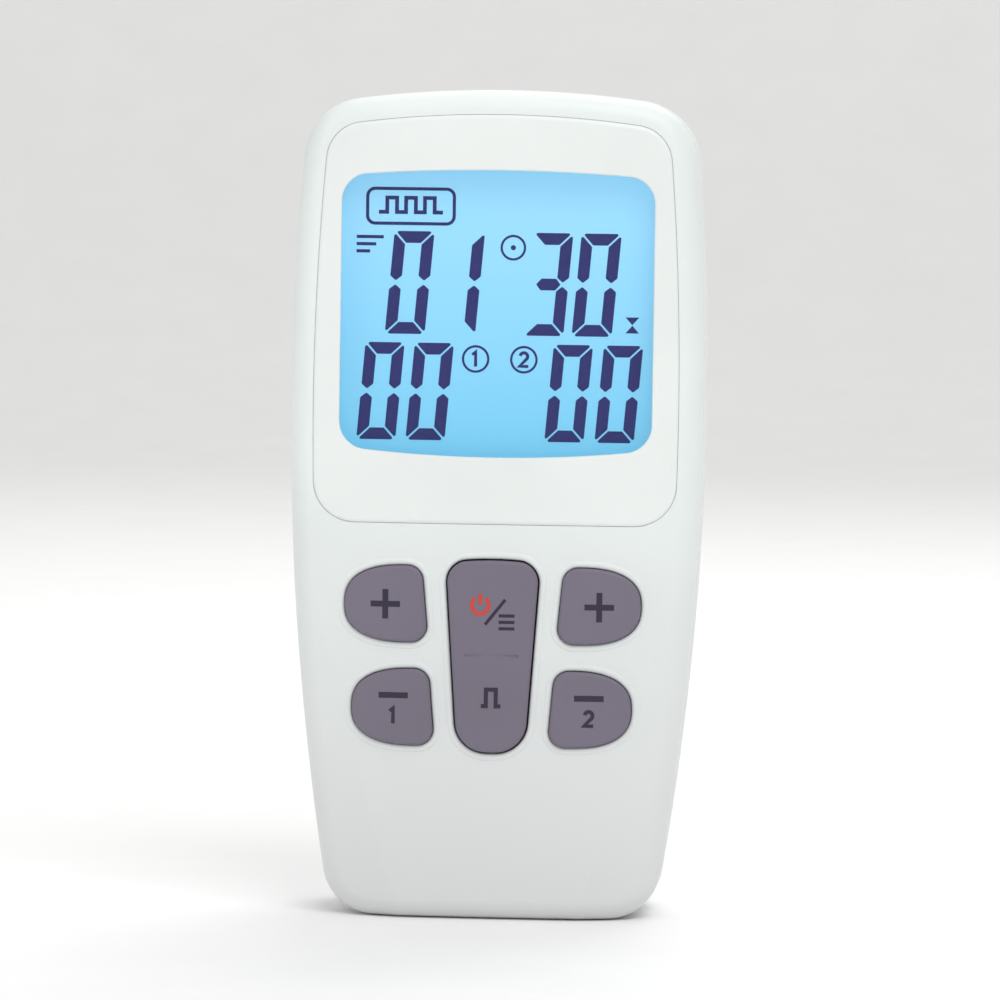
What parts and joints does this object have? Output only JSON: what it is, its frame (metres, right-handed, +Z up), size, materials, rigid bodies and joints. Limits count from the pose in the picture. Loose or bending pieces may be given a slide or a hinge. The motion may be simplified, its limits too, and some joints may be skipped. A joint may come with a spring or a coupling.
{
  "type": "tens unit",
  "caption": "Handheld two-channel nerve stimulator with a display, a five-key pad, two output sockets, a battery door and a belt clip.",
  "frame": {"origin": "middle of the bounding box's bottom face, on the surface that the unit stands on", "axes": "+Z up the long way of the unit, display facing -Y, belt clip towards +Y, +X to the right of a viewer who faces the display"},
  "size_m": [0.0552, 0.0308, 0.11],
  "materials": {
    "white_housing": "fine moulded texture, soft sheen",
    "key_grey": "matt mauve grey with printed symbols",
    "clear_window": "polished clear plastic",
    "lcd": "blue backlit display",
    "light_guide": "white satin plastic",
    "silicone": "translucent grey silicone",
    "board_green": "solder mask",
    "black_plastic": "matt black",
    "steel": "plated steel",
    "winding": "copper winding under yellow tape",
    "cell_wrap": "printed shrink wrap",
    "red_wire": "soft plastic insulation",
    "black_wire": "soft plastic insulation",
    "label": "blank matt label"
  },
  "bodies": {
    "housing": {"front_shell": "white_housing", "rear_shell": "white_housing", "display_bezel": "white_housing", "lcd_window": "clear_window", "lcd_glass": "lcd", "lcd_frame": "light_guide", "backlight_panel": "light_guide", "keypad_mat": "silicone", "zebra_strip": "silicone", "main_board": "board_green", "microcontroller": "black_plastic", "driver_chip": "black_plastic", "buzzer": "black_plastic", "output_socket_1": "black_plastic", "output_socket_2": "black_plastic", "crystal": "steel", "dome_ch1_plus": "steel", "dome_ch1_minus": "steel", "dome_ch2_plus": "steel", "dome_ch2_minus": "steel", "dome_mode_upper": "steel", "dome_mode_lower": "steel", "board_screw_1": "steel", "board_screw_2": "steel", "case_screw_1": "steel", "case_screw_2": "steel", "case_screw_3": "steel", "case_screw_4": "steel", "socket_pin_1": "steel", "socket_pin_2": "steel", "battery_spring_1": "steel", "battery_spring_2": "steel", "battery_spring_3": "steel", "contact_positive": "steel", "contact_negative": "steel", "contact_link_top": "steel", "contact_link_bottom": "steel", "clip_pin": "steel", "clip_spring": "steel", "output_transformer_1": "winding", "output_transformer_2": "winding", "battery_1": "cell_wrap", "battery_2": "cell_wrap", "battery_3": "cell_wrap", "capacitor_1": "cell_wrap", "capacitor_2": "cell_wrap", "wire_positive": "red_wire", "wire_negative": "black_wire"},
    "key_ch1_plus": {"key_ch1_plus": "key_grey"},
    "key_ch1_minus": {"key_ch1_minus": "key_grey"},
    "key_ch2_plus": {"key_ch2_plus": "key_grey"},
    "key_ch2_minus": {"key_ch2_minus": "key_grey"},
    "key_mode": {"key_mode": "key_grey"},
    "battery_door": {"battery_door": "white_housing", "rating_label": "label"},
    "belt_clip": {"belt_clip": "white_housing"}
  },
  "joints": [
    {"name": "key_ch1_plus_press", "type": "slide", "parent": "housing", "child": "key_ch1_plus", "axis": [0, 1, 0], "range_m": [0, 0.0008], "stiffness_N_per_m": 1500},
    {"name": "key_ch1_minus_press", "type": "slide", "parent": "housing", "child": "key_ch1_minus", "axis": [0, 1, 0], "range_m": [0, 0.0008], "stiffness_N_per_m": 1500},
    {"name": "key_ch2_plus_press", "type": "slide", "parent": "housing", "child": "key_ch2_plus", "axis": [0, 1, 0], "range_m": [0, 0.0008], "stiffness_N_per_m": 1500},
    {"name": "key_ch2_minus_press", "type": "slide", "parent": "housing", "child": "key_ch2_minus", "axis": [0, 1, 0], "range_m": [0, 0.0008], "stiffness_N_per_m": 1500},
    {"name": "key_mode_rock", "type": "hinge", "parent": "housing", "child": "key_mode", "pos_m": [0, -0.01225, 0.0353], "axis": [1, 0, 0], "range_deg": [-3, 3], "stiffness_Nm_per_rad": 0.3},
    {"name": "battery_door_hinge", "type": "hinge", "parent": "housing", "child": "battery_door", "pos_m": [0, 0.0084, 0.005], "axis": [-1, 0, 0], "range_deg": [0, 70]},
    {"name": "belt_clip_hinge", "type": "hinge", "parent": "housing", "child": "belt_clip", "pos_m": [0, 0.01205, 0.093], "axis": [1, 0, 0], "range_deg": [0, 20], "stiffness_Nm_per_rad": 0.15, "springref_deg": -11.46}
  ]
}
